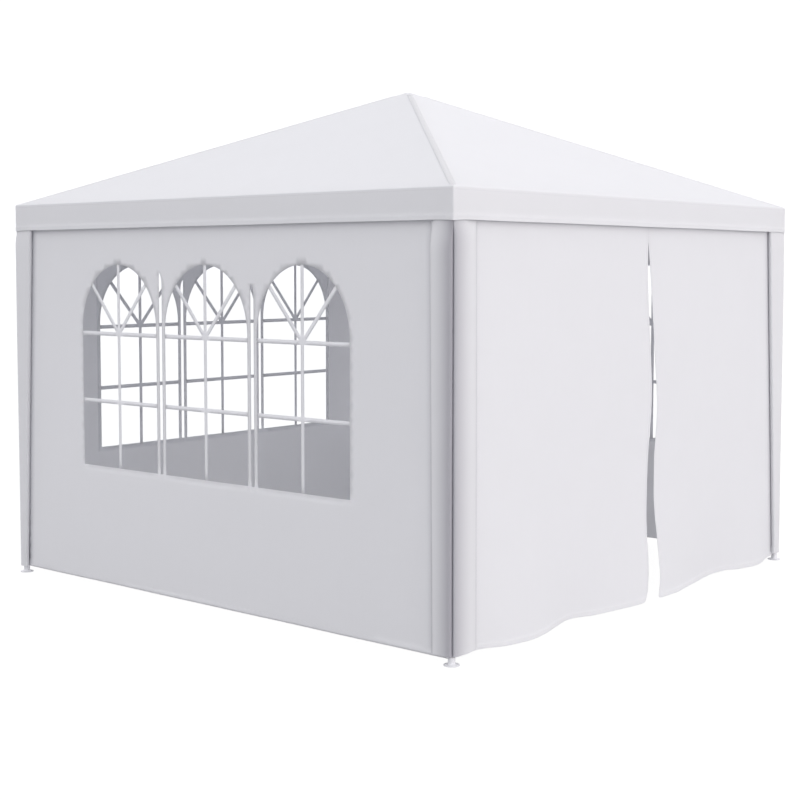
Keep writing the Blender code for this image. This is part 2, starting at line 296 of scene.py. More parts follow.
ROOF_CLOTH = cloth_material("roof_cloth", (0.925, 0.925, 0.945), (0.92, 0.92, 0.94))
WALL_CLOTH = cloth_material("wall_cloth", (0.925, 0.925, 0.945), (0.92, 0.92, 0.94))
BAR_CLOTH = cloth_material("bar_cloth", (0.93, 0.93, 0.96), (0.92, 0.92, 0.94), light=0.2, painted_gap_shade=0.0)
THREAD = thread_material("sewing_thread", (0.80, 0.80, 0.83))
FILM = film_material("clear_film")
STEEL = coated_material("coated_steel", (0.78, 0.78, 0.80), 0.32)
FITTING = coated_material("coated_fitting", (0.72, 0.72, 0.75), 0.42, peel_scale=240.0)
PLASTIC = coated_material("foot_plastic", (0.80, 0.80, 0.83), 0.48, peel_scale=500.0, peel=0.00004)
ZINC = coated_material("zinc_plated", (0.66, 0.67, 0.68), 0.34, peel_scale=700.0, metallic=1.0, scuffs=0.12)


# ---------------------------------------------------------------- meshes
def add(name, verts, faces, finish, uvs=None, smooth=35.0):
    """A mesh object that rides on the frame. uvs are one pair for each face corner, in metres of cloth."""
    mesh = bpy.data.meshes.new(name)
    mesh.from_pydata([tuple(map(float, v)) for v in verts], [], [tuple(map(int, f)) for f in faces])
    if uvs is not None:
        layer = mesh.uv_layers.new(name="cloth")
        layer.uv.foreach_set("vector", np.asarray(uvs, np.float32).ravel())
    mesh.materials.append(finish)
    mesh.validate()
    mesh.shade_smooth()
    mesh.set_sharp_from_angle(angle=math.radians(smooth))
    obj = bpy.data.objects.new(name, mesh)
    bpy.context.scene.collection.objects.link(obj)
    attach(obj, "root")
    return obj


def thicken(obj, thickness=CLOTH, offset=-1.0):
    solid = obj.modifiers.new("cloth", "SOLIDIFY")
    solid.thickness = thickness
    solid.offset = offset
    solid.use_even_offset = True
    return obj


def grid_faces(rows, columns):
    """Faces of a grid of points, row by row, whose fronts face the way columns x rows does."""
    r, c = np.meshgrid(np.arange(rows - 1), np.arange(columns - 1), indexing="ij")
    a = (r * columns + c).ravel()
    return np.stack([a, a + 1, a + columns + 1, a + columns], 1)


def grid(name, points, uv, finish, smooth=35.0):
    """A sheet from an array of points [row, column]."""
    rows, columns = points.shape[:2]
    faces = grid_faces(rows, columns)
    return add(name, points.reshape(-1, 3), faces, finish, uv.reshape(-1, 2)[faces.ravel()], smooth)


class Heap:
    """Many small closed shapes gathered into one mesh."""

    def __init__(self):
        self.verts, self.faces, self.count = [], [], 0

    def put(self, verts, faces):
        self.verts.append(np.asarray(verts, float))
        self.faces += [tuple(int(i) + self.count for i in f) for f in faces]
        self.count += len(verts)

    def make(self, name, finish, slot, smooth=35.0):
        return add(name, np.concatenate(self.verts), self.faces, finish, smooth=smooth)


def frame_at(way, up):
    """Three unit axes: along way, to the side, and nearest to up."""
    way = np.asarray(way, float) / np.linalg.norm(way)
    up = np.asarray(up, float) - way * np.dot(up, way)
    up /= np.linalg.norm(up)
    return way, np.cross(up, way), up


def sew(heap, path, normals, pitch=0.0052, length=0.0036, width=0.0010, height=0.0005):
    """A row of stitches along a path of points on cloth, each a small closed ridge pulled into the surface at its ends."""
    path, normals = np.asarray(path, float), np.asarray(normals, float)
    steps = np.linalg.norm(np.diff(path, axis=0), axis=1)
    at = np.concatenate([[0], np.cumsum(steps)])
    starts = np.arange(pitch * 0.5, at[-1] - length, pitch)
    place = np.stack([np.interp(starts + length / 2, at, path[:, k]) for k in range(3)], 1)
    ahead = np.stack([np.interp(starts + length, at, path[:, k]) for k in range(3)], 1)
    behind = np.stack([np.interp(starts, at, path[:, k]) for k in range(3)], 1)
    up = np.stack([np.interp(starts + length / 2, at, normals[:, k]) for k in range(3)], 1)
    way = ahead - behind
    way /= np.linalg.norm(way, axis=1)[:, None]
    up -= way * (up * way).sum(1)[:, None]
    up /= np.linalg.norm(up, axis=1)[:, None]
    side = np.cross(up, way)
    half, wide, tall, sunk = length / 2, width / 2, height, -0.0003
    corners = (
        (-half, 0, sunk), (-half * 0.5, -wide, sunk), (half * 0.5, -wide, sunk), (half, 0, sunk),
        (half * 0.5, wide, sunk), (-half * 0.5, wide, sunk), (-half * 0.45, 0, tall), (half * 0.45, 0, tall),
    )
    verts = np.stack([place + way * a + side * b + up * c for a, b, c in corners], 1).reshape(-1, 3)
    pattern = ((0, 1, 6), (1, 2, 7, 6), (2, 3, 7), (3, 4, 7), (4, 5, 6, 7), (5, 0, 6), (0, 5, 4, 3, 2, 1))
    faces = [tuple(8 * n + i for i in f) for n in range(len(place)) for f in pattern]
    if len(place):
        heap.put(verts, faces)


def lathe(heap, profile, foot, way, sides=24, up=(0.31, 0.52, 0.79)):
    """A closed turned shape: (distance along way from foot, radius) pairs, from axis to axis or as a closed ring."""
    way, side, upward = frame_at(way, up)
    ring = profile[0][1] > 0 and profile[-1][1] > 0
    verts, rows = [], []
    for along, radius in profile:
        centre = np.asarray(foot, float) + way * along
        if radius <= 1e-9:
            rows.append([len(verts)])
            verts.append(centre)
            continue
        rows.append(list(range(len(verts), len(verts) + sides)))
        for n in range(sides):
            turn = 2 * math.pi * n / sides
            verts.append(centre + (side * math.cos(turn) + upward * math.sin(turn)) * radius)
    faces = []
    pairs = list(zip(rows, rows[1:])) + ([(rows[-1], rows[0])] if ring else [])
    for a, b in pairs:
        for n in range(sides):
            m = (n + 1) % sides
            face = [a[n % len(a)], a[m % len(a)], b[m % len(b)], b[n % len(b)]]
            face = [v for i, v in enumerate(face) if v not in face[:i]]
            if len(face) > 2:
                faces.append(tuple(face))
    heap.put(verts, faces)


def strap(heap, path, across, width, thickness):
    """A flat closed strap that follows a path of points, its width along across."""
    path = np.asarray(path, float)
    across = np.asarray(across, float) / np.linalg.norm(across)
    ways = np.gradient(path, axis=0)
    ways /= np.linalg.norm(ways, axis=1)[:, None]
    out = np.cross(ways, across)
    corners = ((-1, -1), (1, -1), (1, 1), (-1, 1))
    verts = np.stack([path + across * (a * width / 2) + out * (b * thickness / 2) for a, b in corners], 1).reshape(-1, 3)
    faces = [(0, 3, 2, 1)]
    for n in range(len(path) - 1):
        for k in range(4):
            m = (k + 1) % 4
            faces.append((4 * n + k, 4 * n + m, 4 * n + 4 + m, 4 * n + 4 + k))
    last = 4 * (len(path) - 1)
    faces.append((last, last + 1, last + 2, last + 3))
    heap.put(verts, [tuple(reversed(f)) for f in faces])


# ---------------------------------------------------------------- camera
lens_data = bpy.data.cameras.new("camera")
lens_data.lens = 66.531
lens_data.sensor_width = 36.0
lens_data.shift_y = -0.03965
lens_data.clip_end = 500.0
camera = bpy.data.objects.new("camera", lens_data)
camera.location = (-6.2455, -5.2438, 1.6584)
camera.rotation_euler = (math.radians(90 - 3.912), math.radians(-0.009), math.radians(-49.6608))
bpy.context.scene.collection.objects.link(camera)
bpy.context.scene.camera = camera


# ---------------------------------------------------------------- roof: four gores and the valance, one sheet
TIP = 0.016  # the cloth rounds over the crown
FOLD_R = 0.008  # and over the eave rail
FOLD_RUN = FOLD_R * math.tan((math.pi / 2 - SLOPE) / 2)
HIP_R = 0.018
VALANCE_CORNER_R = 0.0065
SEAM = 0.014


def roof_height(reach):
    return APEX_Z - FALL * math.hypot(reach, TIP)


def ring_point(reach, corner_r, at):
    """A point on a square ring with rounded corners. at: -1 to 1 along the front side, up to 2 round the corner to its right."""
    straight = reach - corner_r
    if at <= 1:
        return (straight * at, -reach), (0.0, -1.0)
    turn = (at - 1) * math.pi / 2
    return (straight + corner_r * math.sin(turn), -straight - corner_r * math.cos(turn)), (math.sin(turn), -math.cos(turn))


def canopy_rows():
    """(reach, corner radius, height, cloth length from the top, share down the valance, extra layer) for each ring."""
    rows = []
    slope_end = HALF - FOLD_RUN * math.cos(SLOPE)
    reaches = [0.004, 0.009, 0.015, 0.023, 0.034, 0.049, 0.068, 0.092]
    steps = 42
    reaches += [0.12 + (slope_end - 0.022 - 0.12) * n / steps for n in range(steps + 1)]
    reaches += [slope_end - 0.0155, slope_end - 0.0145, slope_end - 0.006, slope_end]
    length, last = 0.0, None
    for reach in reaches:
        z = roof_height(reach)
        length += 0.004 if last is None else math.dist(last, (reach, z))
        last = (reach, z)
        corner = min(HIP_R, 0.42 * reach)
        corner += (VALANCE_CORNER_R - corner) * ramp(slope_end - 0.05, slope_end, reach)
        rows.append((reach, corner, z, length, 0.0, 0.0))
    centre = EAVE_Z - FOLD_RUN
    for n in range(1, 8):
        turn = SLOPE + (math.pi / 2 - SLOPE) * n / 7
        reach, z = HALF - FOLD_R + FOLD_R * math.sin(turn), centre + FOLD_R * math.cos(turn)
        length += math.dist(last, (reach, z))
        last = (reach, z)
        rows.append((reach, VALANCE_CORNER_R, z, length, 0.0, 0.0))
    drop = centre - VALANCE_BOTTOM_Z
    downs = [0.004, 0.0075, 0.0085] + [0.0085 + (drop - HEM_FOLD - 0.001 - 0.0085) * n / 7 for n in range(1, 8)]
    downs += [drop - HEM_FOLD, drop - 0.012, drop - 0.005, drop - 0.001, drop]
    for down in downs:
        extra = HEM_STEP * ramp(drop - HEM_FOLD - 0.001, drop - HEM_FOLD, down)
        rows.append((HALF, VALANCE_CORNER_R, centre - down, length + down, down / drop, extra))
    return rows


COLUMNS, CORNER_COLUMNS = 88, 5


def canopy_point(row, at, side):
    """A point of the canopy, drawn on the front side, with its small sags and waves."""
    reach, corner_r, z, _, down, extra = row
    (x, y), (nx, ny) = ring_point(reach, corner_r, at)
    across = min(1.0, abs(x) / reach)
    share = reach / HALF
    if down == 0.0:
        sag = 0.009 * (1 - across**2) * math.sin(math.pi * min(1.0, share) ** 1.15) if share < 1 else 0.0
        held = (1 - across**6) * math.sin(math.pi * min(1.0, share)) if share < 1 else 0.0
        sag -= held * (0.0012 * soft_noise(x * 2.4, reach * 2.0, side) + 0.0006 * soft_noise(x * 7.0, reach * 3.0, side + 9))
        pull = math.exp(-((1 - across) / 0.16) ** 2) * ramp(0.45, 0.95, share) * (1 - ramp(0.985, 1.0, share))
        sag -= 0.0006 * pull * math.sin((1 - across) * 46 + share * 5)
        z -= sag
        slope_out = extra
        x, y, z = x + nx * slope_out * math.sin(SLOPE), y + ny * slope_out * math.sin(SLOPE), z + slope_out * math.cos(SLOPE)
        return (x, y, z)
    wave = down * (0.0016 * soft_noise(x * 3.2, 0.3, side + 20) + 0.0007 * soft_noise(x * 9.0, 0.7, side + 30))
    droop = 0.0040 * math.exp(-(((HALF - max(abs(x), 0)) / 0.045) ** 2)) * down**1.5
    dip = 0.0012 * down * soft_noise(x * 2.1, 0.1, side + 40)
    held = 1.0 - math.exp(-(((HALF - abs(x)) / 0.05) ** 2))
    out = extra + wave * held
    return (x + nx * out, y + ny * out, z - droop - dip * held)


def build_canopy():
    rows = canopy_rows()
    stops = [-1 + 2 * n / COLUMNS for n in range(COLUMNS + 1)] + [1 + n / CORNER_COLUMNS for n in range(1, CORNER_COLUMNS)]
    per_side = len(stops)
    sides = ("front", "right", "back", "left")
    verts = []
    for row in rows:
        for number, side in enumerate(sides):
            verts += turned([canopy_point(row, at, number) for at in stops], SIDES[side]).tolist()
    ring = per_side * 4
    faces, uvs = [], []
    for r in range(len(rows) - 1):
        for c in range(ring):
            d = (c + 1) % ring
            faces.append((r * ring + c, (r + 1) * ring + c, (r + 1) * ring + d, r * ring + d))
            yaw = SIDES[sides[c // per_side]]
            cos, sin = math.cos(yaw), math.sin(yaw)
            for index in faces[-1]:
                vx, vy, _ = verts[index]
                uvs.append((vx * cos + vy * sin, rows[index // ring][3]))
    tip = len(verts)
    verts.append((0.0, 0.0, roof_height(0.0)))
    for c in range(ring):
        faces.append((tip, c, (c + 1) % ring))
        for index in faces[-1]:
            vx, vy, _ = verts[index]
            uvs.append((vx, vy))
    canopy = add("canopy", verts, faces, ROOF_CLOTH, uvs, smooth=50.0)
    return thicken(canopy), rows, sides


canopy, CANOPY_ROWS, RING_SIDES = build_canopy()
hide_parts(*(f"{kind}_{side}" for kind in ("roof_panel", "valance") for side in SIDES))


def build_hip_tapes():
    """A sewn tape over each hip, with a row of stitches along each edge."""
    stitches = Heap()
    tapes = []
    rows = [row for row in CANOPY_ROWS if 0.05 < row[0] and row[4] == 0.0 and row[0] < HALF - 0.016]
    for corner, side in zip(("front_right", "back_right", "back_left", "front_left"), RING_SIDES):
        number = RING_SIDES.index(side)
        grid_points, edges = [], ([], [])
        for row in rows:
            reach, corner_r = row[0], row[1]
            arc = corner_r * math.pi / 2
            line = []
            for off in (-0.0115, -0.0085, -0.004, 0.0, 0.004, 0.0085, 0.0115):
                # the ring meets the hip at 45 degrees in plan, so an offset across the tape is longer along the ring
                along = off * 1.36
                place = arc / 2 + along
                if place < 0:
                    at = 1 + place / (reach - corner_r)
                    spot = np.array(canopy_point(row, at, number))
                elif place <= arc:
                    spot = np.array(canopy_point(row, 1 + place / arc, number))
                else:
                    back = place - arc
                    spot = np.array(canopy_point(row, -1 + back / (reach - corner_r), (number + 1) % 4))
                    spot = turned([spot], math.pi / 2)[0]
                line.append(spot)
            grid_points.append(line)
        points = np.array(grid_points)
        ways = np.gradient(points, axis=0)
        crosses = np.gradient(points, axis=1)
        normals = np.cross(ways, crosses)
        normals /= np.linalg.norm(normals, axis=2)[:, :, None]
        normals *= np.where(normals[:, :, 2:3] < 0, -1, 1)
        lifted = points + normals * 0.0007
        yaw = SIDES[side]
        flat = turned(lifted.reshape(-1, 3), yaw).reshape(points.shape)
        length = np.concatenate([[0], np.cumsum(np.linalg.norm(np.diff(flat[:, 3], axis=0), axis=1))])
        uv = np.stack(np.meshgrid(length, np.linspace(-0.0115, 0.0115, 7), indexing="ij"), 2)
        tape = grid("hip_tape_" + corner, flat[:, ::-1], uv[:, ::-1], ROOF_CLOTH)
        thicken(tape, 0.0010)
        tapes.append(tape)
        turned_normals = turned(normals.reshape(-1, 3), yaw).reshape(points.shape)
        for column in (1, 5):
            sew(stitches, flat[:, column], turned_normals[:, column])
    return tapes, stitches


HIP_TAPES, roof_stitches = build_hip_tapes()


def valance_stitches():
    """Stitch rows over the valance's hem and under the eave fold, on each side."""
    for number, side in enumerate(RING_SIDES):
        for drop, lift in ((0.0165, 0.0), (None, 0.0)):
            if drop is None:
                row = next(row for row in CANOPY_ROWS if row[4] > 0.05)
            else:
                hem = CANOPY_ROWS[-1]
                row = (hem[0], hem[1], hem[2] + drop, hem[3] - drop, 1 - drop / 0.13, HEM_STEP)
            stops = [-1 + 2 * n / 220 for n in range(221)]
            path = turned([canopy_point(row, at, number) for at in stops], SIDES[side])
            out = turned([(0, -1, 0)], SIDES[side])[0]
            sew(roof_stitches, path, np.tile(out, (len(path), 1)))


valance_stitches()
roof_sewing = roof_stitches.make("canopy_stitching", THREAD, "roof_cloth")


# ---------------------------------------------------------------- walls
def wall_wave(x, z, seed):
    """How far a hanging wall stands out from its plane: nearly flat, a little fuller towards the ground."""
    low = ramp(1.95, 0.1, z) if z < 1.95 else 0.0
    low = 1 - ramp(0.1, 1.9, z)
    return (0.0004 + 0.0016 * low) * soft_noise(x * 1.9, z * 0.5, seed) + 0.0005 * soft_noise(x * 5.5, z * 1.3, seed + 3)


def wall_hem(name, x):
    """Height of a window wall's lower edge."""
    if name == "left":
        base = 0.0293 - 0.0036 * x
        return base + 0.0010 * soft_noise(x * 2.3, 0.2, 11)
    return 0.0290 + 0.0018 * soft_noise(x * 2.3, 0.2, 15 + len(name))


def arch_loop(middle, grow=0.0, steps=44):
    """An arched opening, grown outwards by some amount."""
    half, sill = ARCH_HALF_WIDTH + grow, ARCH_SILL_Z - grow
    points = [(middle - half, sill)]
    points += [(middle - half + 2 * half * n / 12, sill) for n in range(1, 12)]
    points += [(middle + half, sill)]
    points += [(middle + half, sill + (ARCH_SPRING_Z - sill) * n / 16) for n in range(1, 16)]
    for n in range(steps + 1):
        turn = math.pi * n / steps
        points.append((middle + half * math.cos(turn), ARCH_SPRING_Z + (ARCH_RISE + grow) * math.sin(turn)))
    points += [(middle - half, ARCH_SPRING_Z + (sill - ARCH_SPRING_Z) * n / 16) for n in range(1, 16)]
    return points


def slot_loop(middle, top):
    """The narrow slot between two arches, with a slanting pointed top."""
    half = SLOT_HALF_WIDTH
    points = [(middle - half, ARCH_SILL_Z), (middle + half, ARCH_SILL_Z)]
    points += [(middle + half, ARCH_SILL_Z + (top - 0.052 - ARCH_SILL_Z) * n / 20) for n in range(1, 21)]
    points += [(middle + half * 0.72, top - 0.032), (middle + half * 0.18, top - 0.013), (middle - half * 0.45, top), (middle - half * 0.9, top - 0.006)]
    points += [(middle - half, top - 0.02 + (ARCH_SILL_Z - top + 0.02) * n / 20) for n in range(0, 20)]
    return points


def inside(points, loop):
    """Which points lie inside a closed loop."""
    points, loop = np.asarray(points, float), np.asarray(loop, float)
    x, z = points[:, 0][:, None], points[:, 1][:, None]
    x1, z1 = loop[:, 0][None], loop[:, 1][None]
    x2, z2 = np.roll(loop[:, 0], -1)[None], np.roll(loop[:, 1], -1)[None]
    with np.errstate(divide="ignore", invalid="ignore"):
        crosses = ((z1 > z) != (z2 > z)) & (x < (x2 - x1) * (z - z1) / (z2 - z1) + x1)
    return crosses.sum(1) % 2 == 1


def near_loop(points, loop, reach):
    points, loop = np.asarray(points, float), np.asarray(loop, float)
    nxt = np.roll(loop, -1, axis=0)
    seg = nxt - loop
    length = np.maximum((seg**2).sum(1), 1e-18)
    rel = points[:, None, :] - loop[None]
    t = np.clip((rel * seg[None]).sum(2) / length[None], 0, 1)
    gap = np.linalg.norm(rel - t[:, :, None] * seg[None], axis=2)
    return gap.min(1) < reach


def triangulated(loops, extra, holes):
    """Triangles of a flat sheet with given edges and inner points, without its holes. loops[0] is the outside."""
    verts, edges = [], []
    for loop in loops:
        start = len(verts)
        verts += [Vector(p) for p in loop]
        edges += [(start + n, start + (n + 1) % len(loop)) for n in range(len(loop))]
    verts += [Vector(p) for p in extra]
    points, _, faces, *_ = delaunay_2d_cdt(verts, edges, [], 0, 1e-6)
    points = np.array([tuple(p) for p in points])
    faces = np.array([f for f in faces if len(f) == 3])
    middles = points[faces].mean(1)
    keep = inside(middles, loops[0])
    for hole in holes:
        keep &= ~inside(middles, hole)
    faces = faces[keep]
    used, faces = np.unique(faces, return_inverse=True)
    faces = faces.reshape(-1, 3)
    points = points[used]
    a, b, c = points[faces[:, 0]], points[faces[:, 1]], points[faces[:, 2]]
    area = (b[:, 0] - a[:, 0]) * (c[:, 1] - a[:, 1]) - (b[:, 1] - a[:, 1]) * (c[:, 0] - a[:, 0])
    faces[area < 0] = faces[area < 0][:, ::-1]
    return points, faces, float(np.abs(area).sum() / 2)


def window_middles(name):
    return [WINDOW_SHIFT[name] + n * ARCH_PITCH for n in (-1, 0, 1)]


def slot_middles(name):
    return [WINDOW_SHIFT[name] + n * ARCH_PITCH / 2 for n in (-1, 1)]


def wall_surface(name, seed):
    """A function from (x, z) on a window wall to its outer point, drawn as the front side."""

    def place(x, z, back=0.0):
        hem = wall_hem(name, x)
        out = WALL_PLANE + wall_wave(x, z, seed) + HEM_STEP * (1 - ramp(hem + HEM_FOLD, hem + HEM_FOLD + 0.001, z)) - back
        return (x, -out, z)

    return place


def build_window_wall(name, seed):
    yaw = SIDES[name]
    place = wall_surface(name, seed)
    holes = [arch_loop(m) for m in window_middles(name)] + [slot_loop(m, top) for m, top in zip(slot_middles(name), SLOT_TOPS)]
    width, count = WALL_HALF_WIDTH, 96
    bottom = [(-width + 2 * width * n / count, wall_hem(name, -width + 2 * width * n / count)) for n in range(count + 1)]
    outside = bottom + [(width, bottom[-1][1] + (WALL_TOP_Z - bottom[-1][1]) * n / 60) for n in range(1, 60)]
    outside += [(width - 2 * width * n / count, WALL_TOP_Z) for n in range(count + 1)]
    outside += [(-width, WALL_TOP_Z + (bottom[0][1] - WALL_TOP_Z) * n / 60) for n in range(1, 60)]
    inner = []
    for lift in (HEM_FOLD * 0.5, HEM_FOLD, HEM_FOLD + 0.001):
        inner += [(x, z + lift) for x, z in bottom[1:-1]]
    step = 0.030
    rows = int((WALL_TOP_Z - 0.06) / step)
    for r in range(rows):
        z = 0.060 + step * r
        shift = (r % 2) * step / 2
        inner += [(x, z) for x in np.arange(-width + step * 0.6 + shift, width - step * 0.4, step)]
    inner = np.array(inner)
    for hole in holes:
        inner = inner[~inside(inner, hole)]
        inner = inner[~near_loop(inner, hole, 0.011)]
    inner = inner[~near_loop(inner, outside, 0.006)]
    points, faces, area = triangulated([outside] + holes, inner, holes)
    verts = turned([place(x, z) for x, z in points], yaw)
    wall = add("window_wall_cloth_" + name, verts, faces, WALL_CLOTH, points[faces.ravel()])
    thicken(wall)
    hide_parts("window_wall_" + name)
    return wall, area


def build_film(name, seed):
    yaw = SIDES[name]
    place = wall_surface(name, seed)
    reach = ARCH_PITCH + ARCH_HALF_WIDTH + FILM_MARGIN
    xs = np.linspace(WINDOW_SHIFT[name] - reach, WINDOW_SHIFT[name] + reach, 61)
    zs = np.linspace(ARCH_SILL_Z - FILM_MARGIN, ARCH_SPRING_Z + ARCH_RISE + FILM_MARGIN, 37)
    points = np.array([[place(x, z, 0.00225 + 0.0003 * soft_noise(x * 4, z * 4, seed + 50)) for x in xs] for z in zs])
    uv = np.stack(np.meshgrid(xs, zs), 2)
    points = turned(points.reshape(-1, 3), yaw).reshape(points.shape)
    film = grid("window_film_sheet_" + name, points, uv, FILM)
    thicken(film, 0.0005)
    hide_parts("window_film_" + name)
    return film, (xs[-1] - xs[0], zs[-1] - zs[0])


def build_bars(name, seed):
    """The strips on the film: an upright, two level bars and two slanting ones in each arch, as one flat lattice."""
    place = wall_surface(name, seed)
    over = 0.0015
    shapes = []

    def strip(a, b, wide):
        a, b = Vector(a), Vector(b)
        way = (b - a).normalized()
        side = Vector((-way.y, way.x)) * wide / 2
        count = max(2, int((b - a).length / 0.04))
        left = [a - side + (b - a) * n / count for n in range(count + 1)]
        right = [b + side + (a - b) * n / count for n in range(count + 1)]
        shapes.append([tuple(p) for p in left + right])

    for middle in window_middles(name):
        strip((middle, ARCH_SILL_Z - over), (middle, ARCH_SPRING_Z + ARCH_RISE + over), BAR * 0.98)
        for level in BAR_LEVELS:
            strip((middle - ARCH_HALF_WIDTH - over, level), (middle + ARCH_HALF_WIDTH + over, level), BAR)
        for way in (-1, 1):
            stretch = 1 + over / math.hypot(FAN_REACH, FAN_RISE)
            strip((middle, BAR_LEVELS[1]), (middle + way * FAN_REACH * stretch, BAR_LEVELS[1] + FAN_RISE * stretch), BAR)
    verts, polygons = [], []
    for shape in shapes:
        polygons.append(list(range(len(verts), len(verts) + len(shape))))
        verts += [Vector(p) for p in shape]
    points, _, faces, *_ = delaunay_2d_cdt(verts, [], polygons, 1, 1e-6)
    points = np.array([tuple(p) for p in points])
    faces = [list(f) for f in faces]
    out = []
    for f in faces:
        p = points[f]
        area = sum(p[i][0] * p[(i + 1) % len(f)][1] - p[(i + 1) % len(f)][0] * p[i][1] for i in range(len(f)))
        out.append(f if area > 0 else f[::-1])
    uv = np.concatenate([points[f] for f in out])
    back = 0.00145
    bars = add("window_bars_" + name, turned([place(x, z, back) for x, z in points], SIDES[name]), out, BAR_CLOTH, uv)
    thicken(bars, 0.0006)
    return bars


def offset_path(loop, grow):
    """A closed loop moved outwards, for stitches beside an opening."""
    loop = np.asarray(loop, float)
    before, after = np.roll(loop, 1, axis=0), np.roll(loop, -1, axis=0)
    way = after - before
    way /= np.linalg.norm(way, axis=1)[:, None]
    return loop + np.stack([way[:, 1], -way[:, 0]], 1) * grow


def wall_stitching(name, seed):
    heap = Heap()
    yaw = SIDES[name]
    place = wall_surface(name, seed)
    out = turned([(0, -1, 0)], yaw)[0]

    def row(points):
        path = turned([place(x, z) for x, z in points], yaw)
        sew(heap, path, np.tile(out, (len(path), 1)), pitch=0.0056)

    for middle in window_middles(name):
        loop = arch_loop(middle, 0.0075)
        row(loop + loop[:1])
    xs = np.linspace(-WALL_HALF_WIDTH + 0.01, WALL_HALF_WIDTH - 0.01, 160)
    row([(x, wall_hem(name, x) + HEM_FOLD * 0.82) for x in xs])
    for edge in (-1, 1):
        row([(edge * (WALL_HALF_WIDTH - 0.012), z) for z in np.linspace(0.05, WALL_TOP_Z - 0.02, 60)])
    return heap.make("wall_stitching_" + name, THREAD, "wall_cloth")


for number, name in enumerate(("left", "back", "right")):
    wall, wall_area = build_window_wall(name, 3 + number)
    film, film_size = build_film(name, 3 + number)
    bars = build_bars(name, 3 + number)
    sewing = wall_stitching(name, 3 + number)


# ---------------------------------------------------------------- door leaves
SLIT_TOP_Z = 1.787
SLIT_LEFT = ((0.0, 0.1050), (0.019, 0.1073), (0.099, 0.1119), (0.183, 0.1056), (0.302, 0.0866), (0.421, 0.0796), (0.540, 0.0805), (0.699, 0.0877), (0.818, 0.1015), (0.938, 0.1144), (1.017, 0.1160), (1.137, 0.1100), (1.297, 0.0943), (1.417, 0.0813), (1.577, 0.0685), (1.727, 0.0647), (1.787, 0.0686))
SLIT_RIGHT = ((0.0, 0.2085), (0.019, 0.2103), (0.099, 0.2189), (0.183, 0.2057), (0.302, 0.1819), (0.421, 0.1570), (0.540, 0.1441), (0.699, 0.1444), (0.818, 0.1582), (0.938, 0.1681), (1.017, 0.1658), (1.137, 0.1528), (1.297, 0.1321), (1.417, 0.1181), (1.577, 0.0994), (1.727, 0.0766), (1.787, 0.0696))
# how far out and down the hem hangs along the front: 0 is short and flat, 1 is long and blown outwards
HEM = ((-1.456, 0.0), (-1.374, 0.08), (-1.264, 0.29), (-1.149, 0.59), (-1.069, 0.77), (-0.937, 0.91), (-0.831, 0.75), (-0.723, 0.36), (-0.606, 0.01), (-0.515, 0.17), (-0.430, 0.42), (-0.284, 0.65), (-0.180, 0.78), (-0.026, 0.93), (0.070, 0.91), (0.211, 0.95), (0.329, 0.95), (0.397, 0.81), (0.544, 0.49), (0.691, 0.18), (0.757, 0.09), (0.889, 0.18), (0.995, 0.53), (1.127, 0.76), (1.190, 0.85), (1.264, 0.78), (1.355, 0.60), (1.46, 0.45))
HEM_HIGH, HEM_LOW, HEM_OUT = 0.0345, 0.0065, 0.034
BILLOW_TOP = 0.80
SIDEWAYS = 1.66  # seen from where the slit was measured, cloth that stands out looks moved this much to the right


def hem_held(x):
    return eased(((-1.35, 0.0), (-1.12, 1.0), (1.26, 1.0), (1.43, 0.0)), x)


def door_out(x, z):
    """How far a door leaf stands out from its plane."""
    wave = flowing(HEM, x) * HEM_OUT * max(0.0, 1 - z / BILLOW_TOP) ** 2.2 * hem_held(x)
    return wave + wall_wave(x, z, 8)


def slit_edge(stations, z):
    """Where a leaf ends at the slit. The stations are sight lines onto the wall's plane, so the cloth's own swing comes off."""
    seen = flowing(stations, z)
    return seen - SIDEWAYS * flowing(HEM, seen) * HEM_OUT * max(0.0, 1 - z / BILLOW_TOP) ** 2.2


